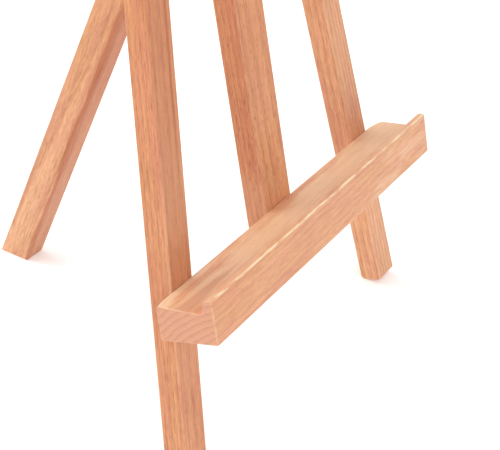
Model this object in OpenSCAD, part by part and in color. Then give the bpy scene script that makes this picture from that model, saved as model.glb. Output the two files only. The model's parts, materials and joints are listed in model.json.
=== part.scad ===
// Plate display stand: a folding A-frame of flat beech stock. Two splayed front legs flank a
// wider centre bar, a one-piece shelf with a raised lip is screwed across their front faces, and
// a rear leg swings on a small brass hinge behind the centre bar.
// Millimetres. Z is up, the floor is Z = 0, the shelf faces -Y and X = 0 is the middle.

/* [Front frame] */
// Backward lean of the front frame from upright, degrees
lean = 16.2; // [12:0.1:18]
// Outward splay of each front leg, degrees
splay = 8.7; // [8:0.1:10]
// Distance from the middle to a front leg's axis, level with the shelf's underside
leg_x = 95; // [86:1:104]
// Width of the front leg stock
leg_w = 17.3; // [15:0.1:19]
// Thickness of the front legs and of the centre bar
stock_t = 12.3; // [11:0.1:14]
// Width of the centre bar
bar_w = 24.9; // [22:0.1:28]
// Width left at each front leg's squared top, beside the centre bar
leg_top_w = 10; // [7:0.5:12]
// Length of the centre bar that stands above the legs' tops
bar_stub = 17; // [10:1:30]
// Height of the shelf's back lower edge above the floor
shelf_height = 74.2; // [60:0.2:85]
// Radius of the eased long edges of all the sticks
edge_r = 0.6; // [0.4:0.1:1.5]
// Radius of the front feet's back lower edges, on which the feet rest
foot_back_r = 2; // [1:0.1:3]
// Radius of the front feet's front lower edges
foot_front_r = 2; // [0.6:0.1:3]

/* [Shelf] */
// Length of the shelf
shelf_l = 230; // [215:1:245]
// Depth of the shelf, from the legs' front faces to its own front
shelf_d = 29.9; // [27:0.1:34]
// Height of the lip's top above the shelf's back lower edge
lip_h = 23; // [20:0.5:26]
// Rise of the shelf's underside from its back to its front
under_rise = 1.1; // [0:0.1:2]
// Height of the tray surface at the back
tray_back_h = 17.3; // [15:0.1:18]
// Height of the tray surface where it meets the lip
tray_front_h = 15.8; // [14:0.1:17]
// Thickness of the lip at its top
lip_top_t = 4.2; // [3.4:0.1:5.2]
// Thickness of the lip at its root
lip_root_t = 6; // [5:0.1:7]
// Radius of the tray's back edge
back_r = 0.8; // [0.4:0.1:4.5]
// Radius of the hollow where the tray meets the lip
hollow_r = 1; // [0.6:0.1:3]
// Radius of the lip's inner top edge
lip_r = 1.9; // [0.6:0.1:2.2]
// Radius of the shelf's other eased edges
shelf_edge_r = 0.5; // [0.3:0.1:1]

/* [Rear leg] */
// Width of the rear leg, from side to side
rear_w = 14.2; // [13.5:0.1:17]
// Depth of the rear leg, from front to back
rear_d = 17.2; // [15:0.1:20]
// Angle between the rear leg and the centre bar when the stand is open, degrees
open_angle = 34; // [30:0.5:38]
// Height of the hinge pin above the shelf's underside, along the centre bar
pivot_z = 194; // [180:1:210]
// Thickness left at the tip of the rear leg's mitred top
tip_t = 3.4; // [2:0.2:6]
// Gap between the mitred top and the centre bar when the stand is open
stop_gap = 0.3; // [0.2:0.1:0.5]

/* [Hinge] */
// Length of the hinge along its pin
hinge_w = 13; // [12:0.2:13.4]
// Length of each leaf, from the pin to its free end
leaf_l = 16; // [15:0.5:20]
// Thickness of each leaf
leaf_t = 0.9; // [0.7:0.05:0.95]
// Outer radius of the knuckles
knuckle_r = 1.6; // [1.5:0.05:1.8]
// Radius of the hinge pin
pin_r = 0.8; // [0.7:0.05:0.85]
// Running clearance around the pin
pin_fit = 0.05; // [0.02:0.01:0.08]
// Gap between the knuckles and the wood or brass that they pass
knuckle_gap = 0.25; // [0.2:0.05:0.4]

/* [Screws] */
// Length of the screws that hold the shelf
shelf_screw_l = 28; // [22:1:32]
// Length of the screws that hold the legs' tops
top_screw_l = 21; // [18:1:22]
// Length of the hinge screws
hinge_screw_l = 9; // [7:0.5:9.5]
// Clearance of every screw in its hole, on the radius
screw_fit = 0.1; // [0.05:0.05:0.2]

/* [Hidden] */
$fn = 48;

beech = [0.86, 0.63, 0.46];
pale_beech = [0.90, 0.71, 0.54];
brass = [0.79, 0.62, 0.30];
zinc = [0.73, 0.73, 0.70];

// A length that reaches past the whole stand, for cutting planes
far = 900;
// How far a cut runs past the face that it starts from
overrun = 1;

// Heights along the frame at which the legs and the centre bar end
leg_outer_x = leg_x + leg_w / 2 / cos(splay);
leg_top_z = (leg_outer_x - bar_w / 2 - leg_top_w) / tan(splay);
bar_l = leg_top_z + bar_stub;
// The front feet are cut square to the legs' front faces, this far below the shelf's underside,
// so that only their rounded back lower edges touch the floor
foot_drop = foot_back_r
    + (shelf_height - foot_back_r - (stock_t - foot_back_r) * sin(lean)) / cos(lean);
// Radius of the crown of the centre bar
crown_r = bar_w * 0.8;

// The hinge pin stands off the centre bar's back and the rear leg's front by this much
standoff = knuckle_r + knuckle_gap;
pivot_y = stock_t + standoff;
// The middle knuckle takes a third of the hinge, and a gap parts it from the outer two
knuckle_side_gap = 0.3;
mid_knuckle_w = hinge_w / 3 - knuckle_side_gap;
leaf_corner_r = 1.2;
// The pin's riveted heads, and their play past the knuckles' ends
pin_head_r = 1.15;
pin_head_t = 0.35;
pin_play = 0.05;

// Inclination of the open rear leg from upright
rear_lean = open_angle - lean;
// Height of the rear leg's tip above the pin, along the leg
rear_top_z = standoff / tan(open_angle / 2) + (rear_d - tip_t) / tan(open_angle);

// Outline of the shelf seen from its right end, as [y, z] points of the frame, with the radius
// of each corner: back lower, back upper, tray front, lip inner, lip outer, front lower
shelf_outline = [[0, 0], [0, tray_back_h], [lip_root_t - shelf_d, tray_front_h],
                 [lip_top_t - shelf_d, lip_h], [-shelf_d, lip_h], [-shelf_d, under_rise]];
shelf_radii = [0, back_r, hollow_r, lip_r, shelf_edge_r, shelf_edge_r];
front_corner = 5;
// Number of flats along each rounded corner
arc_steps = 12;

// The stand is placed so that the floor is Z = 0 and its depth is centred on Y = 0
pin_world_y = pivot_y * cos(lean) + pivot_z * sin(lean);
pin_world_z = shelf_height - pivot_y * sin(lean) + pivot_z * cos(lean);
front_y = arc_centre(front_corner) * [cos(lean), sin(lean)] - shelf_edge_r;
rear_y = pin_world_y + pin_world_z * tan(rear_lean) + (standoff + rear_d) / cos(rear_lean);
frame_y = -(front_y + rear_y) / 2;

// Screw sizes as [shank diameter, head diameter]
wood_screw = [3.5, 7];
top_screw = [3, 5.8];
hinge_screw = [2, 3.7];
// Drive cross, as parts of the head diameter: reach, width and depth
cross_reach = 0.56;
cross_width = 0.15;
cross_depth = 0.22;

// Places of the screws
shelf_screw_z = 8.5;
shelf_leg_screw_x = leg_x - shelf_screw_z * tan(splay);
shelf_bar_screw_x = 6;
top_screw_z = [for (drop = [12, 33]) (leg_top_z - drop) / cos(splay)];
hinge_screws_xz = [[-3.1, -5.6], [3.1, -11.4]];

// Places its children in the leaning frame: x to the right, y back from the front faces,
// z up along the frame from the shelf's underside
module on_frame() {
    translate([0, frame_y, shelf_height]) rotate([-lean, 0, 0]) children();
}

// Places its children along the right front leg, with z up the leg's axis
module on_leg() {
    on_frame() translate([leg_x, 0, 0]) rotate([0, -splay, 0]) children();
}

// Places its children along the rear leg, from the hinge pin: y back and z up the leg
module on_rear_leg() {
    on_frame() translate([0, pivot_y, pivot_z]) rotate([open_angle, 0, 0]) children();
}

// What a foot's end cut takes away
module below_foot() {
    on_frame() translate([-far, -far, -foot_drop - far]) cube([2 * far, 2 * far, far]);
}

// What rounding the foot's back lower edge takes away, or its front one if side is -1
module beside_foot_edge(y, r, side) {
    on_frame() translate([-far, y - side * r, r - foot_drop]) rotate([90, 0, 90])
        linear_extrude(2 * far) difference() {
            translate([side > 0 ? 0 : -r - overrun, -r - overrun]) square(r + overrun);
            circle(r);
        }
}

// Cuts everything below the floor away
module stand_on_floor() {
    difference() {
        children();
        translate([-far, -far, -far]) cube([2 * far, 2 * far, far]);
    }
}

// Section of a stick: w wide about x = 0, from y = 0 to t, with round long edges
module stick_section(w, t) {
    translate([edge_r - w / 2, 0]) square([w - 2 * edge_r, t]);
    translate([-w / 2, edge_r]) square([w, t - 2 * edge_r]);
    for (x = [edge_r - w / 2, w / 2 - edge_r], y = [edge_r, t - edge_r])
        translate([x, y]) circle(edge_r);
}

module stick(w, t, low, high) {
    translate([0, 0, low]) linear_extrude(high - low) stick_section(w, t);
}

function toward(p, q) = (q - p) / norm(q - p);
// Unit vectors along the two edges of the shelf's outline that leave corner i
function edge_back(i) = toward(shelf_outline[i], shelf_outline[i == 0 ? len(shelf_outline) - 1 : i - 1]);
function edge_on(i) = toward(shelf_outline[i], shelf_outline[(i + 1) % len(shelf_outline)]);
function half_angle(i) = acos(edge_back(i) * edge_on(i)) / 2;
// Centre of the arc that touches both edges of corner i
function arc_centre(i) = let (middle = edge_back(i) + edge_on(i))
    shelf_outline[i] + middle / norm(middle) * shelf_radii[i] / sin(half_angle(i));
// Points of that arc, from the edge before the corner to the edge after it
function arc_points(i) = let (
        touch = shelf_radii[i] / tan(half_angle(i)),
        first = toward(arc_centre(i), shelf_outline[i] + edge_back(i) * touch),
        last = toward(arc_centre(i), shelf_outline[i] + edge_on(i) * touch),
        sweep = 180 - 2 * half_angle(i))
    [for (k = [0 : arc_steps]) arc_centre(i) + shelf_radii[i] / sin(sweep)
        * (first * sin(sweep * (1 - k / arc_steps)) + last * sin(sweep * k / arc_steps))];

// A countersunk screw along -z with its head's face at z = 0, grown by g on the radius
module screw_body(size, length, g) {
    shank = size[0] / 2 + g;
    head = size[1] / 2 + g;
    rim = 0.25;
    rotate_extrude() polygon([[0, 0], [head, 0], [head, -rim], [shank, -rim - head + shank],
                              [shank, -length + size[0]], [0, -length - g]]);
}

module screw(size, length) {
    reach = size[1] * cross_reach;
    width = size[1] * cross_width;
    depth = size[1] * cross_depth;
    difference() {
        screw_body(size, length, 0);
        for (turn = [0, 90]) rotate(turn)
            translate([-reach / 2, -width / 2, -depth]) cube([reach, width, depth + overrun]);
    }
}

module screw_hole(size, length) {
    screw_body(size, length, screw_fit);
    cylinder(h = overrun, r = size[1] / 2 + screw_fit);
}

// The shelf's screws enter from behind, square to the frame
module at_shelf_screw(x) {
    on_frame() translate([x, stock_t, shelf_screw_z]) rotate([-90, 0, 0]) children();
}

// The top screws enter the right leg's outer side, square to it
module at_top_screws() {
    for (z = top_screw_z)
        on_leg() translate([leg_w / 2, stock_t / 2, z]) rotate([0, 90, 0]) children();
}

module at_hinge_frame_screws() {
    for (p = hinge_screws_xz) on_frame()
        translate([p[0], stock_t + leaf_t, pivot_z + p[1]]) rotate([-90, 0, 0]) children();
}

module at_hinge_leg_screws() {
    for (p = hinge_screws_xz)
        on_rear_leg() translate([p[0], standoff - leaf_t, p[1]]) rotate([90, 0, 0]) children();
}

module front_leg() {
    difference() {
        on_leg() stick(leg_w, stock_t, -far / 4, far);
        below_foot();
        beside_foot_edge(stock_t, foot_back_r, 1);
        beside_foot_edge(0, foot_front_r, -1);
        on_frame() translate([-far, -far, leg_top_z]) cube([2 * far, 2 * far, far]);
        on_frame() translate([bar_w / 2 - far, -far, 0]) cube([far, 2 * far, far]);
        at_top_screws() screw_hole(top_screw, top_screw_l);
        at_shelf_screw(shelf_leg_screw_x) screw_hole(wood_screw, shelf_screw_l);
    }
}

module right_leg() {
    color(beech) front_leg();
}

module left_leg() {
    color(beech) mirror([1, 0, 0]) front_leg();
}

module centre_bar() {
    color(beech) difference() {
        on_frame() intersection() {
            stick(bar_w, stock_t, 0, bar_l);
            union() {
                translate([-bar_w, -overrun, -overrun])
                    cube([2 * bar_w, stock_t + 2 * overrun, bar_l - crown_r + overrun]);
                translate([0, -overrun, bar_l - crown_r]) rotate([-90, 0, 0])
                    cylinder(h = stock_t + 2 * overrun, r = crown_r);
            }
        }
        at_top_screws() screw_hole(top_screw, top_screw_l);
        mirror([1, 0, 0]) at_top_screws() screw_hole(top_screw, top_screw_l);
        for (x = [-shelf_bar_screw_x, shelf_bar_screw_x])
            at_shelf_screw(x) screw_hole(wood_screw, shelf_screw_l);
        at_hinge_frame_screws() screw_hole(hinge_screw, hinge_screw_l);
    }
}

module shelf_section() {
    polygon([for (i = [0 : len(shelf_outline) - 1])
        each (shelf_radii[i] > 0 ? arc_points(i) : [shelf_outline[i]])]);
}

module shelf() {
    color(pale_beech) difference() {
        on_frame() translate([-shelf_l / 2, 0, 0]) rotate([90, 0, 90])
            linear_extrude(shelf_l) shelf_section();
        for (x = [-shelf_leg_screw_x, -shelf_bar_screw_x, shelf_bar_screw_x, shelf_leg_screw_x])
            at_shelf_screw(x) screw_hole(wood_screw, shelf_screw_l);
    }
}

// The mitred top leans on the centre bar's back when the stand is open, and the foot is level
module rear_leg() {
    color(beech) stand_on_floor() difference() {
        on_rear_leg() translate([0, standoff, 0]) stick(rear_w, rear_d, -far / 2, rear_top_z);
        on_frame() translate([-far, stock_t + stop_gap - far, 0]) cube([2 * far, far, far]);
        at_hinge_leg_screws() screw_hole(hinge_screw, hinge_screw_l);
    }
}

// One leaf from the pin's axis down its stick: the plate lies from y = -standoff, and the
// knuckles run along x between each pair in spans
module leaf(spans) {
    difference() {
        union() {
            translate([-hinge_w / 2, -standoff, -leaf_l]) leaf_plate(spans);
            for (s = spans) translate([s[0], 0, 0]) rotate([0, 90, 0])
                cylinder(h = s[1] - s[0], r = knuckle_r);
        }
        translate([-hinge_w, 0, 0]) rotate([0, 90, 0])
            cylinder(h = 2 * hinge_w, r = pin_r + pin_fit);
    }
}

// The plate ends short of the pin, apart from where its own knuckles are
module leaf_plate(spans) {
    short_l = leaf_l - knuckle_r - knuckle_gap;
    rotate([90, 0, 0]) mirror([0, 0, 1]) linear_extrude(leaf_t) {
        translate([leaf_corner_r, 0]) square([hinge_w - 2 * leaf_corner_r, short_l]);
        translate([0, leaf_corner_r]) square([hinge_w, short_l - leaf_corner_r]);
        for (x = [leaf_corner_r, hinge_w - leaf_corner_r])
            translate([x, leaf_corner_r]) circle(leaf_corner_r);
        for (s = spans) translate([s[0] + hinge_w / 2, short_l - overrun])
            square([s[1] - s[0], leaf_l - short_l + overrun]);
    }
}

module hinge_frame_leaf() {
    inner = mid_knuckle_w / 2 + knuckle_side_gap;
    color(brass) difference() {
        on_frame() translate([0, pivot_y, pivot_z])
            leaf([[-hinge_w / 2, -inner], [inner, hinge_w / 2]]);
        at_hinge_frame_screws() screw_hole(hinge_screw, hinge_screw_l);
    }
}

module hinge_leg_leaf() {
    color(brass) difference() {
        on_rear_leg() mirror([0, 1, 0]) leaf([[-mid_knuckle_w / 2, mid_knuckle_w / 2]]);
        at_hinge_leg_screws() screw_hole(hinge_screw, hinge_screw_l);
    }
}

module hinge_pin() {
    half = hinge_w / 2 + pin_play;
    color(brass) on_frame() translate([0, pivot_y, pivot_z]) rotate([0, 90, 0]) {
        translate([0, 0, -half]) cylinder(h = 2 * half, r = pin_r);
        for (z = [-half - pin_head_t, half]) translate([0, 0, z])
            cylinder(h = pin_head_t, r = pin_head_r);
    }
}

module hinge_frame_screws() {
    color(brass) at_hinge_frame_screws() screw(hinge_screw, hinge_screw_l);
}

module hinge_leg_screws() {
    color(brass) at_hinge_leg_screws() screw(hinge_screw, hinge_screw_l);
}

module right_top_screws() {
    color(zinc) at_top_screws() screw(top_screw, top_screw_l);
}

module left_top_screws() {
    color(zinc) mirror([1, 0, 0]) at_top_screws() screw(top_screw, top_screw_l);
}

module right_shelf_screw() {
    color(zinc) at_shelf_screw(shelf_leg_screw_x) screw(wood_screw, shelf_screw_l);
}

module left_shelf_screw() {
    color(zinc) at_shelf_screw(-shelf_leg_screw_x) screw(wood_screw, shelf_screw_l);
}

module centre_shelf_screws() {
    color(zinc) for (x = [-shelf_bar_screw_x, shelf_bar_screw_x])
        at_shelf_screw(x) screw(wood_screw, shelf_screw_l);
}

left_leg();
right_leg();
centre_bar();
shelf();
rear_leg();
hinge_frame_leaf();
hinge_leg_leaf();
hinge_pin();
hinge_frame_screws();
hinge_leg_screws();
left_top_screws();
right_top_screws();
left_shelf_screw();
right_shelf_screw();
centre_shelf_screws();
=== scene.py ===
import json
import math
from collections import namedtuple

import bmesh
import bpy
from mathutils import Matrix, Vector


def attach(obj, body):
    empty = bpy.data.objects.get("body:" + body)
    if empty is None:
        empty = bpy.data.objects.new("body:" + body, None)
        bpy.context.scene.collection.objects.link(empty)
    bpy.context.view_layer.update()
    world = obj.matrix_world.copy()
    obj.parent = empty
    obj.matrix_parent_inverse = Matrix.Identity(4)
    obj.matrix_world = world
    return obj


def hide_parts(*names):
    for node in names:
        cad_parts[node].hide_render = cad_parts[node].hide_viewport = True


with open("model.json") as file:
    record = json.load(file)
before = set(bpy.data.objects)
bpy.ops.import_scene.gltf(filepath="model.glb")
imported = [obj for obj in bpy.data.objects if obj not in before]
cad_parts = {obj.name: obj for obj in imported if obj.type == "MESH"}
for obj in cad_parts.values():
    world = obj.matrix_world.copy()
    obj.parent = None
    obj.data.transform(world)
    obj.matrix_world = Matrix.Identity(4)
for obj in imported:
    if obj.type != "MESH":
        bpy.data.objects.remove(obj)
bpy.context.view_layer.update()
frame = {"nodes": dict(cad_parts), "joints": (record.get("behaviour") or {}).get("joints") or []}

MM = 0.001
QUARTER = math.pi / 2

# The stand's own measures, as the CAD has them
LEAN = math.radians(16.2)
SPLAY = math.radians(8.7)
OPEN = math.radians(34)
LEG_X = 95 * MM
LEG_W = 17.3 * MM
STOCK_T = 12.3 * MM
BAR_W = 24.9 * MM
LEG_TOP_W = 10 * MM
BAR_STUB = 17 * MM
CROWN_R = 0.8 * BAR_W
EDGE_R = 0.6 * MM
FOOT_BACK_R = 2 * MM
FOOT_FRONT_R = 2 * MM
SHELF_L = 230 * MM
STANDOFF = 1.85 * MM
PIVOT_Y = STOCK_T + STANDOFF
PIVOT_Z = 194 * MM
REAR_W = 14.2 * MM
REAR_D = 17.2 * MM
TIP_T = 3.4 * MM
STOP_GAP = 0.3 * MM

# The shelf's section, seen from its right end: its corners and their radii, in millimetres
SHELF_CORNERS = [(0, 0), (0, 17.3), (-23.9, 15.8), (-25.7, 23), (-29.9, 23), (-29.9, 1.1)]
SHELF_RADII = [0.4, 0.8, 1, 1.9, 0.8, 0.5]
END_R = 0.5 * MM
BACK_CORNER, HOLLOW_CORNER, LIP_CORNER, LIP_EDGE = 1, 2, 3, 4
# The tray's back corners are knocked off: the radius there grows to WORN_R, in millimetres, at
# the shelf's left and right ends, over the lengths WORN_L. WORN_STEPS are how far from an end
# the board has rings of points to show it, in millimetres
WORN_R = (2.4, 4.3)
WORN_L = (7 * MM, 13 * MM)
WORN_STEPS = (1.2, 2, 3, 4, 5, 6, 7, 9, 11, 13)
# How pale the lip's top, its front edge and the shelf's ends are made, part rubbing and part
# painted highlight, where other arrises have 1
RUB_AND_HIGHLIGHT = {LIP_CORNER: 0.4, LIP_EDGE: 2}
END_RUB_AND_HIGHLIGHT = 0.6

# The flats that a rounding is made of: a shelf corner's, an eased arris's, a foot edge's, the
# bar's crown's and a whole turn's
ARC_STEPS = 8
EASE_STEPS = 4
FOOT_STEPS = 6
CROWN_STEPS = 16
TURN_STEPS = 48
# A leg's stick before it is cut, from low to high, and the rear leg's low end
LEG_BLANK = (-200 * MM, 700 * MM)
REAR_BLANK_FOOT = -400 * MM
# Edges sharper than this are eased, and faces that meet at less than this shade as one
EASED_ANGLE = math.radians(25)
SMOOTH_ANGLE = math.radians(40)
# A face is end grain if the cosine of its angle to the grain is more than this
END_COSINE = 0.6
# How near counts as on a cutting plane, as the same point, and as on an edge to be rounded
PLANE_TOLERANCE = 1e-7
POINT_TOLERANCE = 1e-6
EDGE_TOLERANCE = 1e-5

# Screws as (shank diameter, head diameter, length), their clearance on the radius, the height of
# a head's rim and how far a hole's cutter stands out of the wood
SHELF_SCREW = (3.5 * MM, 7 * MM, 28 * MM)
TOP_SCREW = (3 * MM, 5.8 * MM, 21 * MM)
HINGE_SCREW = (2 * MM, 3.7 * MM, 9 * MM)
SCREW_FIT = 0.1 * MM
HEAD_RIM = 0.25 * MM
OVERRUN = 3 * MM
# Where they are: above the shelf's underside, beside the bar's middle, below the legs' tops, and
# across and up from the pivot in the hinge's leaves, which are LEAF_T thick
SHELF_SCREW_Z = 8.5 * MM
SHELF_BAR_SCREW_X = 6 * MM
TOP_SCREW_DROPS = (12 * MM, 33 * MM)
HINGE_SCREWS_XZ = ((-3.1 * MM, -5.6 * MM), (3.1 * MM, -11.4 * MM))
LEAF_T = 0.9 * MM

# A leg ends where it is down to LEG_TOP_W beside the bar
LEG_TOP_Z = (LEG_X + LEG_W / 2 / math.cos(SPLAY) - BAR_W / 2 - LEG_TOP_W) / math.tan(SPLAY)
BAR_L = LEG_TOP_Z + BAR_STUB
# A leg's shelf screw is on the middle of the leg
SHELF_LEG_SCREW_X = LEG_X - SHELF_SCREW_Z * math.tan(SPLAY)
# The rear leg ends where its mitre has left it about TIP_T thick
REAR_TOP_Z = STANDOFF / math.tan(OPEN / 2) + (REAR_D - TIP_T) / math.tan(OPEN)


def move(x, y, z):
    return Matrix.Translation((x, y, z))


def turn(angle, axis):
    return Matrix.Rotation(angle, 4, axis)


# Places: the leaning front frame, its right leg, the rear leg and the shelf. Each has its z
# along the grain of the wood that it places, so the shelf's x, y and z are the frame's y, z and x
PIN = move(*frame["joints"][0]["pos_m"])
FRAME = PIN @ turn(-LEAN, "X") @ move(0, -PIVOT_Y, -PIVOT_Z)
LEG = FRAME @ move(LEG_X, 0, 0) @ turn(-SPLAY, "Y")
REAR = PIN @ turn(OPEN - LEAN, "X")
SHELF = FRAME @ Matrix(((0, 0, 1, 0), (1, 0, 0, 0), (0, 1, 0, 0), (0, 0, 0, 1)))
MIRROR = Matrix.Scale(-1, 4, (1, 0, 0))
# The front feet end FOOT_DROP below the shelf's underside, so that the rounding of their back
# lower edges, whose middle is at FOOT_ROUND_Y, touches the floor
SHELF_Z = FRAME.translation.z
FOOT_ROUND_Y = STOCK_T - FOOT_BACK_R
FOOT_DROP = FOOT_BACK_R + ((SHELF_Z - FOOT_BACK_R - FOOT_ROUND_Y * math.sin(LEAN))
                           / math.cos(LEAN))


# ---- Meshes -------------------------------------------------------------------------------

def new_object(name, bm):
    """An object holding that bmesh, which is used up."""
    mesh = bpy.data.meshes.new(name)
    bm.to_mesh(mesh)
    bm.free()
    obj = bpy.data.objects.new(name, mesh)
    bpy.context.scene.collection.objects.link(obj)
    return obj


def bar(w, t, low, high):
    """A square-edged stick, w wide about x = 0, from y = 0 to t and from z = low to high."""
    bm = bmesh.new()
    corners = [(-w / 2, 0), (w / 2, 0), (w / 2, t), (-w / 2, t)]
    bottom, top = [[bm.verts.new((x, y, z)) for x, y in corners] for z in (low, high)]
    bm.faces.new(bottom[::-1])
    bm.faces.new(top)
    for i in range(4):
        bm.faces.new((bottom[i], bottom[(i + 1) % 4], top[(i + 1) % 4], top[i]))
    return bm


def cut(bm, place, normal):
    """Takes away what lies on the normal's side of the plane through place's origin."""
    facing = place.to_3x3() @ Vector(normal)
    geometry = bm.verts[:] + bm.edges[:] + bm.faces[:]
    made = bmesh.ops.bisect_plane(bm, geom=geometry, dist=PLANE_TOLERANCE,
                                  plane_co=place.translation, plane_no=facing,
                                  clear_outer=True)
    rim = [e for e in made["geom_cut"] if isinstance(e, bmesh.types.BMEdge)]
    bmesh.ops.edgenet_fill(bm, edges=rim)


def ease(bm, radius):
    """Rounds every sharp edge, and marks the faces that this makes as arrises."""
    # The faces marked here are painted pale later: part rubbing, part painted highlight
    worn = bm.faces.layers.float.new("arris")
    bmesh.ops.recalc_face_normals(bm, faces=bm.faces[:])
    sharp = [e for e in bm.edges if e.calc_face_angle(0) > EASED_ANGLE]
    made = bmesh.ops.bevel(bm, geom=sharp, offset=radius, offset_type="OFFSET",
                           segments=EASE_STEPS, profile=0.5, affect="EDGES")
    for face in made["faces"]:
        face[worn] = 1


def round_edge(bm, place, y, z, radius):
    """Rounds the edge that runs along place's x at y and z."""
    inverse = place.inverted()
    wanted = Vector((y, z))
    along = [e for e in bm.edges
             if all((wanted - (inverse @ v.co).yz).length < EDGE_TOLERANCE for v in e.verts)]
    bmesh.ops.bevel(bm, geom=along, offset=radius, offset_type="OFFSET", segments=FOOT_STEPS,
                    profile=0.5, affect="EDGES")


def toward(p, q):
    """The direction from p to q."""
    return (q - p).normalized()


def rounded(corners, radii, inset):
    """The points of an outline moved in by inset, with its corners rounded. The corners and the
    radii are in millimetres, and a radius is of the outline before it is moved in."""
    points = [Vector(c) * MM for c in corners]
    count = len(points)
    area = sum(points[i - 1].cross(points[i]) for i in range(count))
    made = []
    for i, p in enumerate(points):
        back, on = toward(p, points[i - 1]), toward(p, points[(i + 1) % count])
        half = back.angle(on) / 2
        bisector = (back + on).normalized()
        convex = on.cross(back) * area > 0
        radius = radii[i] * MM
        if convex:
            centre = p + bisector * max(radius, inset) / math.sin(half)
            radius = max(radius - inset, 0)
        else:
            centre = p + bisector * radius / math.sin(half)
            radius += inset
        touch = radii[i] * MM / math.tan(half)
        true_centre = p + bisector * radii[i] * MM / math.sin(half)
        first = toward(true_centre, p + back * touch)
        last = toward(true_centre, p + on * touch)
        sweep = first.angle(last)
        for k in range(ARC_STEPS + 1):
            a, b = sweep * (1 - k / ARC_STEPS), sweep * k / ARC_STEPS
            made.append(centre + (first * math.sin(a) + last * math.sin(b))
                        / math.sin(sweep) * radius)
    return made


def worn_radii(radii, z, length):
    """The section's radii at z along the shelf, larger at the back corner near either end."""
    end = 0 if z < 0 else 1
    near = max(0, 1 - (length / 2 - abs(z)) / WORN_L[end])
    worn = list(radii)
    worn[BACK_CORNER] += (WORN_R[end] - radii[BACK_CORNER]) * near ** 2
    return worn


def board(corners, radii, length, end_radius):
    """A moulded board along z, centred on z = 0, with eased ends."""
    bm = bmesh.new()
    # The faces marked here are painted pale later: part rubbing, part painted highlight
    worn = bm.faces.layers.float.new("arris")
    turns = [QUARTER * k / EASE_STEPS for k in range(EASE_STEPS + 1)]
    ends = [(length / 2 - end_radius * (1 - math.sin(a)), end_radius * (1 - math.cos(a)))
            for a in turns]
    inner = [(length / 2 - step * MM, 0) for step in WORN_STEPS]
    places = sorted([(-z, inset) for z, inset in ends + inner] + ends + inner)
    rings = []
    for z, inset in places:
        outline = rounded(corners, worn_radii(radii, z, length), inset)
        rings.append([bm.verts.new((*p, z)) for p in outline])
    count = len(rings[0])
    for k in range(len(rings) - 1):
        low, high = rings[k], rings[k + 1]
        at_end = k < EASE_STEPS or k >= len(rings) - 1 - EASE_STEPS
        for i in range(count):
            j = (i + 1) % count
            face = bm.faces.new((low[i], low[j], high[j], high[i]))
            corner, step = divmod(i, ARC_STEPS + 1)
            on_arc = step < ARC_STEPS and corner != HOLLOW_CORNER
            if on_arc or corner == LIP_CORNER:
                face[worn] = RUB_AND_HIGHLIGHT.get(corner, 1)
            elif at_end:
                face[worn] = END_RUB_AND_HIGHLIGHT
    bm.faces.new(rings[0][::-1])
    bm.faces.new(rings[-1])
    bmesh.ops.remove_doubles(bm, verts=bm.verts[:], dist=POINT_TOLERANCE)
    bmesh.ops.recalc_face_normals(bm, faces=bm.faces[:])
    return bm


def turned(bm, profile, place):
    """Adds a solid of revolution about place's z to bm. The profile is (radius, z) points."""
    rings = []
    for r, z in profile:
        around = range(TURN_STEPS if r else 1)
        angles = [2 * math.pi * k / TURN_STEPS for k in around]
        rings.append([bm.verts.new(place @ Vector((r * math.cos(a), r * math.sin(a), z)))
                      for a in angles])
    for low, high in zip(rings, rings[1:]):
        for k in range(TURN_STEPS):
            m = (k + 1) % TURN_STEPS
            loop = [low[k % len(low)], low[m % len(low)], high[m % len(high)],
                    high[k % len(high)]]
            bm.faces.new(list(dict.fromkeys(loop)))


def screw_holes(size, places):
    """A bmesh of countersunk holes, each along its place's -z with its mouth at z = 0."""
    shank_diameter, head_diameter, length = size
    shank = shank_diameter / 2 + SCREW_FIT
    head = head_diameter / 2 + SCREW_FIT
    profile = [(0, OVERRUN), (head, OVERRUN), (head, -HEAD_RIM),
               (shank, -HEAD_RIM - head + shank), (shank, -length + shank_diameter),
               (0, -length - SCREW_FIT)]
    bm = bmesh.new()
    for place in places:
        turned(bm, profile, place)
    bmesh.ops.recalc_face_normals(bm, faces=bm.faces[:])
    return bm


def drill(obj, *holes):
    """Takes each of the hole bmeshes out of obj."""
    for bm in holes:
        cutter = new_object("cutter", bm)
        modifier = obj.modifiers.new("holes", "BOOLEAN")
        modifier.operation = "DIFFERENCE"
        modifier.solver = "EXACT"
        modifier.object = cutter
        depsgraph = bpy.context.evaluated_depsgraph_get()
        drilled = bpy.data.meshes.new_from_object(obj.evaluated_get(depsgraph))
        obj.modifiers.clear()
        obj.data = drilled
        bpy.data.objects.remove(cutter)


def finish_wood(obj, place, material):
    """Gives obj smooth faces, the wood's own coordinates and its material. place has its z along
    the grain."""
    mesh = obj.data
    mesh.shade_smooth()
    mesh.set_sharp_from_angle(angle=SMOOTH_ANGLE)
    inverse = place.inverted()
    along = (place.to_3x3() @ Vector((0, 0, 1))).normalized()
    grain = mesh.attributes.new("grain", "FLOAT_VECTOR", "POINT")
    grain.data.foreach_set("vector", [c for v in mesh.vertices for c in inverse @ v.co])
    ends = mesh.attributes.new("end_grain", "FLOAT", "FACE")
    ends.data.foreach_set("value", [float(abs(p.normal.dot(along)) > END_COSINE)
                                    for p in mesh.polygons])
    mesh.materials.clear()
    mesh.materials.append(material)
    obj.modifiers.new("flat_faces", "WEIGHTED_NORMAL").keep_sharp = True


# ---- Materials ----------------------------------------------------------------------------

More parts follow.
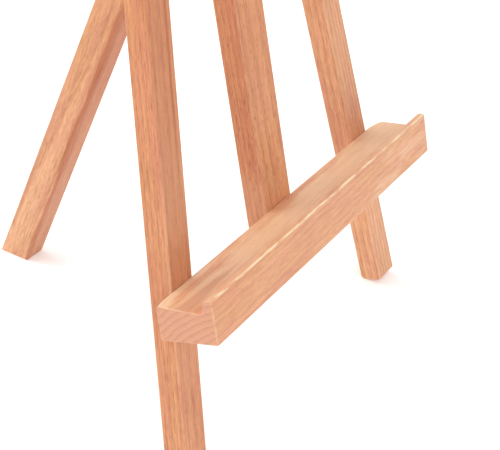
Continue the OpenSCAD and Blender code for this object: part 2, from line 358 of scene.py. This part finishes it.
class Graph:
    """A new material's nodes, made one call at a time."""

    def __init__(self, name):
        self.material = bpy.data.materials.new(name)
        self.material.use_nodes = True
        self.tree = self.material.node_tree
        self.tree.nodes.clear()

    def add(self, kind, inputs=None, **settings):
        """A node of that kind, its inputs linked to sockets or set to values."""
        node = self.tree.nodes.new("ShaderNode" + kind)
        for key, value in settings.items():
            setattr(node, key, value)
        for key, value in (inputs or {}).items():
            if isinstance(value, bpy.types.NodeSocket):
                self.tree.links.new(value, node.inputs[key])
            else:
                node.inputs[key].default_value = value
        return node

    def attribute(self, name, output):
        return self.add("Attribute", attribute_name=name).outputs[output]

    def math(self, operation, a, b=0.0, clamp=False):
        return self.add("Math", {0: a, 1: b}, operation=operation, use_clamp=clamp).outputs[0]

    def span(self, value, low, high):
        """Passes from low to high as the value goes from 0 to 1."""
        return self.add("MapRange", {"Value": value, "To Min": low, "To Max": high}).outputs[0]

    def mapping(self, vector, location=(0, 0, 0), rotation=(0, 0, 0), scale=(1, 1, 1)):
        return self.add("Mapping", {"Vector": vector, "Location": location,
                                    "Rotation": rotation, "Scale": scale}).outputs[0]

    def noise(self, vector, scale, detail=2.0, roughness=0.5):
        return self.add("TexNoise", {"Vector": vector, "Scale": scale, "Detail": detail,
                                     "Roughness": roughness}).outputs[0]

    def drawn(self, vector, squeeze, scale, detail, roughness=0.5, location=(0, 0, 0)):
        """Noise drawn out along z, where its scale is squeeze times what it is across."""
        return self.noise(self.mapping(vector, location, scale=(1, 1, squeeze)), scale, detail,
                          roughness)

    def ramp(self, value, *stops):
        """The value through straight lines between (position, value) stops."""
        node = self.add("ValToRGB", {0: value})
        elements = node.color_ramp.elements
        while len(elements) < len(stops):
            elements.new(0.5)
        for element, (position, level) in zip(elements, stops):
            element.position = position
            element.color = (level, level, level, 1)
        return node.outputs[0]

    def mix(self, factor, a, b, blend="MIX"):
        """Two colours mixed. Inputs 6 and 7 of the node are the ones for colours."""
        return self.add("Mix", {0: factor, 6: a, 7: b}, data_type="RGBA",
                        blend_type=blend).outputs[2]

    def bump(self, height, strength, distance):
        """The normal of a surface with that relief."""
        return self.add("Bump", {"Height": height, "Strength": strength,
                                 "Distance": distance}).outputs[0]

    def finish(self, inputs):
        """The material, with those inputs on its Principled shader."""
        shader = self.add("BsdfPrincipled", inputs)
        self.add("OutputMaterial", {"Surface": shader.outputs[0]})
        return self.material


def colour(red, green, blue):
    """A linear colour from its 0 to 255 screen values."""
    values = [c / 255 for c in (red, green, blue)]
    return [c / 12.92 if c <= 0.04045 else ((c + 0.055) / 1.055) ** 2.4 for c in values] + [1]


# The wood's hue drifts between the first two. Its cut ends lean towards the third. Its arrises,
# part rubbing and part painted highlight, and its pale streaks, some of them painted light, lean
# towards the last
SANDY = colour(224, 166, 104)
ROSY = colour(226, 146, 118)
END_PINK = colour(207, 148, 124)
PALE_WEAR_AND_HIGHLIGHT = colour(241, 212, 175)
HUE_SHARE = 0.35
END_SHARE = 0.55
# How strongly each layer of the figure changes the wood's tone about its middle. On the faces
# each wood has its own amount of rings and flecks
END_RINGS = 0.8
BANDS = 0.5
FIBRES = 1.35
CLOUDS = 0.5
GLINTS = 0.2
MIDDLE_TONE = 0.35
RINGS_MIDDLE = 0.4

# A part of a stick that is darker or, where strength is negative, paler. It lies within about
# width of place on an axis across or along the stick, and tapers off along the grain at reach
# from middle. The axis ARRIS is x + y, so it straddles the left front arris. In millimetres
# Some streaks are figure in the wood, others are painted shade and painted light
Streak = namedtuple("Streak", "axis place width strength middle reach")
ACROSS, THROUGH, ALONG, ARRIS = range(4)
# A streak's edge is soft over its width divided by this
STREAK_EDGE = 2.5
# How far apart the wave texture's rings are at a scale of 1
WAVE_PERIOD = math.pi / 10


def growth_rings(g, grain, pith, tilt, ring, seed):
    """How dark the growth rings are, 0 to 1: each is darkest at its outside."""
    place = g.mapping(grain, location=(-pith[0] * MM, -pith[1] * MM, seed),
                      rotation=(*tilt, 0), scale=(1, 1, 0.1))
    saw = g.add("TexWave", {"Vector": place, "Scale": WAVE_PERIOD / (ring * MM),
                            "Distortion": 2.4, "Detail": 3.0, "Detail Scale": 0.9},
                wave_type="RINGS", rings_direction="Z", wave_profile="SAW").outputs["Fac"]
    return g.ramp(saw, (0, 0.6), (0.12, 0), (0.6, 0.3), (0.93, 0.85), (1, 1))


def streaked(g, wood, dark, streaks, parts, shifted, end):
    """The wood with its streaks, some of them painted shade and painted light, which its ends
    don't show.
    """
    wander = g.drawn(shifted, 0.3, scale=120, detail=3)
    for streak in streaks:
        width = streak.width * MM
        away = g.math("ABSOLUTE", g.math("SUBTRACT", parts[streak.axis], streak.place * MM))
        off = g.math("ABSOLUTE", g.math("SUBTRACT", parts[ALONG], streak.middle * MM))
        taper = g.math("SUBTRACT", 1.0, g.math("DIVIDE", off, streak.reach * MM), clamp=True)
        room = g.math("MULTIPLY", g.math("MULTIPLY", wander, taper), 2 * width)
        mask = g.math("DIVIDE", g.math("SUBTRACT", room, away), width / STREAK_EDGE, clamp=True)
        mask = g.math("MULTIPLY", mask, g.math("SUBTRACT", 1.0, end))
        share = g.math("MULTIPLY", mask, abs(streak.strength))
        wood = g.mix(share, wood, dark if streak.strength > 0 else PALE_WEAR_AND_HIGHLIGHT)
    return wood


def beech(name, foot, top, dark, span, pith, tilt, seed, dashes, wear_and_highlight, streaks, ring=2.6,
          figure=0.3):
    """Steamed beech. Its colour passes from foot to top over the span, and its figure darkens it
    towards dark. pith is where the rings' centre lies beside the stick, tilt how far their axis
    is turned from the grain about x and y, in radians, and ring their spacing. figure is how
    much the rings show on the faces, dashes how much the short flecks do, and wear how pale the
    arrises are, part rubbing and part painted highlight. span, pith and ring are in millimetres."""
    g = Graph(name)
    grain = g.attribute("grain", "Vector")
    end = g.attribute("end_grain", "Fac")
    parts = list(g.add("SeparateXYZ", {0: grain}).outputs)
    parts.append(g.math("ADD", parts[ACROSS], parts[THROUGH]))
    shifted = g.mapping(grain, location=(0, 0, seed))
    rings = growth_rings(g, grain, pith, tilt, ring, seed)
    bands = g.drawn(shifted, 0.05, scale=330, detail=3, roughness=0.6)
    fibres = g.drawn(shifted, 0.08, scale=1150, detail=4, roughness=0.7)
    clouds = g.drawn(shifted, 0.3, scale=55, detail=3)
    flecks = g.ramp(g.drawn(shifted, 0.11, scale=2000, detail=1), (0.57, 0), (0.67, 1))
    glints = g.ramp(g.drawn(shifted, 0.14, scale=1500, detail=1, location=(0.1, 0.2, 0)),
                    (0.58, 0), (0.74, 1))

    tone = g.math("MULTIPLY", g.math("SUBTRACT", rings, RINGS_MIDDLE),
                  g.span(end, figure, END_RINGS))
    for layer, amount in ((bands, BANDS), (fibres, FIBRES), (clouds, CLOUDS)):
        swing = g.math("MULTIPLY", g.math("SUBTRACT", layer, 0.5), amount)
        tone = g.math("ADD", tone, swing)
    tone = g.math("ADD", tone, g.math("MULTIPLY", flecks, dashes))
    tone = g.math("SUBTRACT", tone, g.math("MULTIPLY", glints, GLINTS))
    tone = g.math("ADD", tone, MIDDLE_TONE, clamp=True)

    along = g.add("MapRange", {"Value": parts[ALONG], "From Min": span[0] * MM,
                               "From Max": span[1] * MM}).outputs[0]
    wood = g.mix(tone, g.mix(along, foot, top), dark)
    hue = g.ramp(g.drawn(shifted, 0.05, scale=520, detail=3, roughness=0.6,
                         location=(0.3, 0.1, 0)), (0.38, 0), (0.62, 1))
    wood = g.mix(HUE_SHARE, wood, g.mix(hue, SANDY, ROSY), "COLOR")
    wood = streaked(g, wood, dark, streaks, parts, shifted, end)
    wood = g.mix(end, wood, g.mix(END_SHARE, wood, END_PINK))
    # The arrises are painted pale in patches: part rubbing, part painted highlight
    rub_and_highlight = g.ramp(g.drawn(shifted, 0.2, scale=500, detail=2), (0.38, 0.15), (0.62, 1))
    worn = g.math("MULTIPLY", g.attribute("arris", "Fac"), rub_and_highlight)
    wood = g.mix(g.math("MULTIPLY", worn, wear_and_highlight), wood, PALE_WEAR_AND_HIGHLIGHT)

    relief = g.math("SUBTRACT", fibres, g.math("MULTIPLY", flecks, 0.6))
    return g.finish({"Base Color": wood, "Roughness": g.span(bands, 0.42, 0.6),
                     "Specular IOR Level": 0.4,
                     "Normal": g.bump(relief, strength=0.35, distance=0.1 * MM)})


def metal(name, bright, dull, roughness, scratch_scale):
    """Bare metal with dulled patches, fine scratches and uneven polish."""
    g = Graph(name)
    place = g.add("TexCoord").outputs["Object"]
    patches = g.ramp(g.noise(place, scale=260, detail=4, roughness=0.6), (0.35, 0), (0.7, 1))
    scratches = g.noise(g.mapping(place, scale=(1, 0.06, 0.06)), scale=scratch_scale,
                        detail=3, roughness=0.7)
    return g.finish({"Base Color": g.mix(patches, bright, dull), "Metallic": 1.0,
                     "Roughness": g.span(scratches, roughness - 0.08, roughness + 0.14),
                     "Normal": g.bump(scratches, strength=0.25, distance=0.03 * MM)})


def paper(name):
    """The floor: plain white paper with a faint tooth, lit a little from below."""
    g = Graph(name)
    tooth = g.noise(g.add("TexCoord").outputs["Object"], scale=900)
    return g.finish({"Base Color": colour(252, 252, 252), "Roughness": 0.9,
                     "Specular IOR Level": 0.1,
                     "Normal": g.bump(tooth, strength=0.05, distance=0.05 * MM),
                     "Emission Color": (1, 0.985, 0.985, 1), "Emission Strength": 0.16})


# ---- Wood ---------------------------------------------------------------------------------

def shelf_screw_place(x):
    """Where a screw goes in from behind at x. Every screw's z points out of the wood."""
    return FRAME @ move(x, STOCK_T, SHELF_SCREW_Z) @ turn(-QUARTER, "X")


def top_screw_places():
    """Where the right leg's top screws go in from the side."""
    heights = [(LEG_TOP_Z - drop) / math.cos(SPLAY) for drop in TOP_SCREW_DROPS]
    return [LEG @ move(LEG_W / 2, STOCK_T / 2, z) @ turn(QUARTER, "Y") for z in heights]


def wooden(name, bm, place, material, body, node, slot, *holes):
    """Makes a wooden piece of bm, less the holes, which stands for a CAD node."""
    obj = new_object(name, bm)
    drill(obj, *holes)
    finish_wood(obj, place, material)
    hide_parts(node)
    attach(obj, body)


def front_leg(side, material):
    """One splayed leg, its foot and top cut square to its front face and its top flat against
    the bar."""
    flip = Matrix.Identity(4) if side == "right" else MIRROR
    bm = bar(LEG_W, STOCK_T, *LEG_BLANK)
    bm.transform(LEG)
    cut(bm, FRAME @ move(0, 0, -FOOT_DROP), (0, 0, -1))
    cut(bm, FRAME @ move(0, 0, LEG_TOP_Z), (0, 0, 1))
    cut(bm, FRAME @ move(BAR_W / 2, 0, 0), (-1, 0, 0))
    round_edge(bm, FRAME, STOCK_T, -FOOT_DROP, FOOT_BACK_R)
    round_edge(bm, FRAME, 0, -FOOT_DROP, FOOT_FRONT_R)
    ease(bm, EDGE_R)
    bm.transform(flip)
    bmesh.ops.recalc_face_normals(bm, faces=bm.faces[:])
    shelf_hole = screw_holes(SHELF_SCREW, [flip @ shelf_screw_place(SHELF_LEG_SCREW_X)])
    top_holes = screw_holes(TOP_SCREW, [flip @ p for p in top_screw_places()])
    wooden(side + "_leg_stick", bm, flip @ LEG, material, "frame", side + "_leg", "leg_wood",
           shelf_hole, top_holes)


def centre_bar(material):
    """The upright between the legs, with a round crown."""
    bm = bar(BAR_W, STOCK_T, 0, BAR_L - CROWN_R + math.sqrt(CROWN_R ** 2 - BAR_W ** 2 / 4))
    crown(bm)
    bm.transform(FRAME)
    ease(bm, EDGE_R)
    places = top_screw_places()
    top_holes = screw_holes(TOP_SCREW, places + [MIRROR @ p for p in places])
    shelf_holes = screw_holes(SHELF_SCREW, [shelf_screw_place(x) for x in
                                            (-SHELF_BAR_SCREW_X, SHELF_BAR_SCREW_X)])
    hinge_holes = screw_holes(HINGE_SCREW, [
        FRAME @ move(x, STOCK_T + LEAF_T, PIVOT_Z + z) @ turn(-QUARTER, "X")
        for x, z in HINGE_SCREWS_XZ])
    wooden("centre_bar_stick", bm, FRAME, material, "frame", "centre_bar", "leg_wood",
           top_holes, shelf_holes, hinge_holes)


def crown(bm):
    """Raises the bar's flat top to a round one."""
    half = math.asin(BAR_W / 2 / CROWN_R)
    top = max(v.co.z for v in bm.verts)
    for k in range(1, CROWN_STEPS):
        x = CROWN_R * math.sin(half * (2 * k / CROWN_STEPS - 1))
        geometry = bm.verts[:] + bm.edges[:] + bm.faces[:]
        bmesh.ops.bisect_plane(bm, geom=geometry, dist=PLANE_TOLERANCE, plane_co=(x, 0, 0),
                               plane_no=(1, 0, 0))
    for v in bm.verts:
        if v.co.z > top - MM:
            v.co.z = BAR_L - CROWN_R + math.sqrt(CROWN_R ** 2 - v.co.x ** 2)


def shelf(material):
    """The tray with its lip, screwed on from behind."""
    bm = board(SHELF_CORNERS, SHELF_RADII, SHELF_L, END_R)
    bm.transform(SHELF)
    xs = (-SHELF_LEG_SCREW_X, -SHELF_BAR_SCREW_X, SHELF_BAR_SCREW_X, SHELF_LEG_SCREW_X)
    holes = screw_holes(SHELF_SCREW, [shelf_screw_place(x) for x in xs])
    wooden("shelf_board", bm, SHELF, material, "frame", "shelf", "shelf_wood", holes)


def rear_leg(material):
    """The leg behind: its foot level with the floor, its top mitred to stop against the bar."""
    bm = bar(REAR_W, REAR_D, REAR_BLANK_FOOT, REAR_TOP_Z)
    bm.transform(REAR @ move(0, STANDOFF, 0))
    cut(bm, move(0, 0, 0), (0, 0, -1))
    cut(bm, FRAME @ move(0, STOCK_T + STOP_GAP, 0), (0, -1, 0))
    ease(bm, EDGE_R)
    holes = screw_holes(HINGE_SCREW, [
        REAR @ move(x, STANDOFF - LEAF_T, z) @ turn(QUARTER, "X")
        for x, z in HINGE_SCREWS_XZ])
    wooden("rear_leg_stick", bm, REAR, material, "rear_strut", "rear_leg", "leg_wood", holes)


# The stretch of a front leg or the bar over which its colour passes from the foot's to the
# top's, in millimetres up from the shelf's underside
LEG_SPAN = (-60, 180)
DEEP = colour(168, 88, 54)
# A band of painted shade round a stick where the shelf crosses it
PAINTED_SHADE_AT_SHELF = Streak(ALONG, 17, 26, 0.14, 17, 900)


def left_leg_beech():
    """Its front has a narrow dark streak above the shelf, and painted shade makes it darker
    higher up. A band of painted shade crosses it at the shelf, and its front just above the shelf
    has a little painted light.
    """
    # A grain streak, painted shade at the shelf and higher up the front, and painted light on the
    # front just above the shelf
    streaks = (Streak(ACROSS, -4.4, 1.3, 0.6, 118, 90), PAINTED_SHADE_AT_SHELF,
               Streak(THROUGH, 0, 3, 0.25, 220, 280), Streak(THROUGH, 0, 3, -0.08, 25, 70))
    return beech("beech_left_leg", foot=colour(228, 162, 120), top=colour(219, 147, 98),
                 dark=DEEP, span=LEG_SPAN, pith=(30, 60), tilt=(0.1, 0.12), seed=3.1,
                 dashes=0.3, wear_and_highlight=0.12, streaks=streaks)


def right_leg_beech():
    """The palest of the sticks."""
    return beech("beech_right_leg", foot=colour(237, 187, 147), top=colour(226, 164, 121),
                 dark=DEEP, span=LEG_SPAN, pith=(-50, 40), tilt=(0.05, -0.1), seed=8.3,
                 # A slightly weaker band of painted shade at the shelf
                 dashes=0.18, wear_and_highlight=0.25, streaks=(PAINTED_SHADE_AT_SHELF._replace(strength=0.12),))


def centre_bar_beech():
    """Strongly flecked. Painted shade darkens its left side, and painted light makes it paler at
    the shelf.
    """
    # Painted shade on the left side face, and painted light where the shelf crosses it
    streaks = (Streak(ACROSS, -13, 3, 0.3, 130, 260), PAINTED_SHADE_AT_SHELF._replace(strength=-0.12))
    return beech("beech_centre_bar", foot=colour(231, 168, 118), top=colour(222, 147, 99),
                 dark=DEEP, span=LEG_SPAN, pith=(18, -60), tilt=(0.12, 0.1), seed=12.7,
                 dashes=0.5, wear_and_highlight=0.25, streaks=streaks)


def rear_leg_beech():
    """Painted shade darkens its front, and a dark streak runs along its left front arris."""
    # Painted shade on the front face, and a dark grain streak along the left front arris
    streaks = (Streak(THROUGH, 1.8, 4, 0.38, -150, 900), Streak(ARRIS, -5.2, 3.4, 0.5, -100, 900))
    return beech("beech_rear_leg", foot=colour(238, 191, 151), top=colour(228, 165, 122),
                 dark=DEEP, span=(-250, -60), pith=(60, 25), tilt=(-0.08, 0.1), seed=17.9,
                 dashes=0.2, wear_and_highlight=0.08, streaks=streaks)


def shelf_beech():
    """Paler towards the right end. At the left end its tray has a reddish flame, with a painted
    highlight along its back edge behind it."""
    # A pale tray towards the right end, a reddish flame, and a painted highlight on the back edge
    # at the left end
    streaks = (Streak(ACROSS, -13, 17, -0.45, 115, 420), Streak(ACROSS, -14, 5, 0.5, -115, 62),
               Streak(ACROSS, -2, 5, -0.55, -115, 70))
    return beech("beech_shelf", foot=colour(229, 172, 130), top=colour(233, 183, 144),
                 dark=colour(188, 110, 80), span=(-115, 115), pith=(-55, -50), tilt=(0.3, 0.2),
                 seed=24.3, dashes=0.15, wear_and_highlight=0.7, streaks=streaks, ring=3.0, figure=0.2)


# ---- Fittings -----------------------------------------------------------------------------

def fittings():
    """The hinge and the screws stay as the CAD has them, and get their metals."""
    brass = metal("brass", bright=colour(226, 190, 108), dull=colour(176, 132, 66),
                  roughness=0.32, scratch_scale=2600)
    steel = metal("zinc_plated_steel", bright=colour(206, 206, 204), dull=colour(150, 150, 148),
                  roughness=0.36, scratch_scale=2200)
    for name, obj in frame["nodes"].items():
        if "hinge" in name or "screw" in name:
            obj.data.materials.clear()
            obj.data.materials.append(brass if "hinge" in name else steel)


# ---- Stage --------------------------------------------------------------------------------

def floor():
    """White paper that reaches past what the camera sees."""
    bm = bmesh.new()
    bmesh.ops.create_grid(bm, x_segments=8, y_segments=8, size=20)
    obj = new_object("floor", bm)
    obj.data.materials.append(paper("white_paper"))


def softbox(name, place, aim, size, energy):
    """A round white lamp, size across, that faces aim."""
    lamp = bpy.data.lights.new(name, "AREA")
    lamp.shape = "DISK"
    lamp.size = size
    lamp.energy = energy
    obj = bpy.data.objects.new(name, lamp)
    obj.location = place
    obj.rotation_euler = (Vector(aim) - Vector(place)).to_track_quat("-Z", "Y").to_euler()
    bpy.context.scene.collection.objects.link(obj)


def lights():
    """A big lamp above and behind, a weaker one in front, and white all round."""
    aim = (0, -0.03, 0.2)
    softbox("key_light", (-0.45, 1.3, 2.2), aim, size=2.4, energy=26)
    softbox("fill_light", (-0.9, -1.8, 1.5), aim, size=1.6, energy=8)
    world = bpy.data.worlds.new("white_studio")
    world.use_nodes = True
    background = world.node_tree.nodes["Background"]
    background.inputs["Color"].default_value = (1, 1, 1, 1)
    background.inputs["Strength"].default_value = 0.88
    bpy.context.scene.world = world


def camera():
    """Looks down over the shelf's left end. Its place is given from the middle of the shelf's
    back lower edge."""
    heading = math.radians(64.19)
    dip = math.radians(31.08)
    roll = math.radians(6.9)
    place = FRAME.translation + Vector((-0.5816, -0.26205, 0.38707))
    data = bpy.data.cameras.new("camera")
    data.lens = 106.5
    data.sensor_width = 36
    data.clip_start = 0.01
    data.clip_end = 60
    obj = bpy.data.objects.new("camera", data)
    obj.matrix_world = (move(*place) @ turn(-heading, "Z") @ turn(QUARTER - dip, "X")
                        @ turn(roll, "Z"))
    bpy.context.scene.collection.objects.link(obj)
    bpy.context.scene.camera = obj


camera()
floor()
lights()
bpy.context.scene.view_settings.view_transform = "Standard"
front_leg("left", left_leg_beech())
front_leg("right", right_leg_beech())
centre_bar(centre_bar_beech())
rear_leg(rear_leg_beech())
shelf(shelf_beech())
fittings()
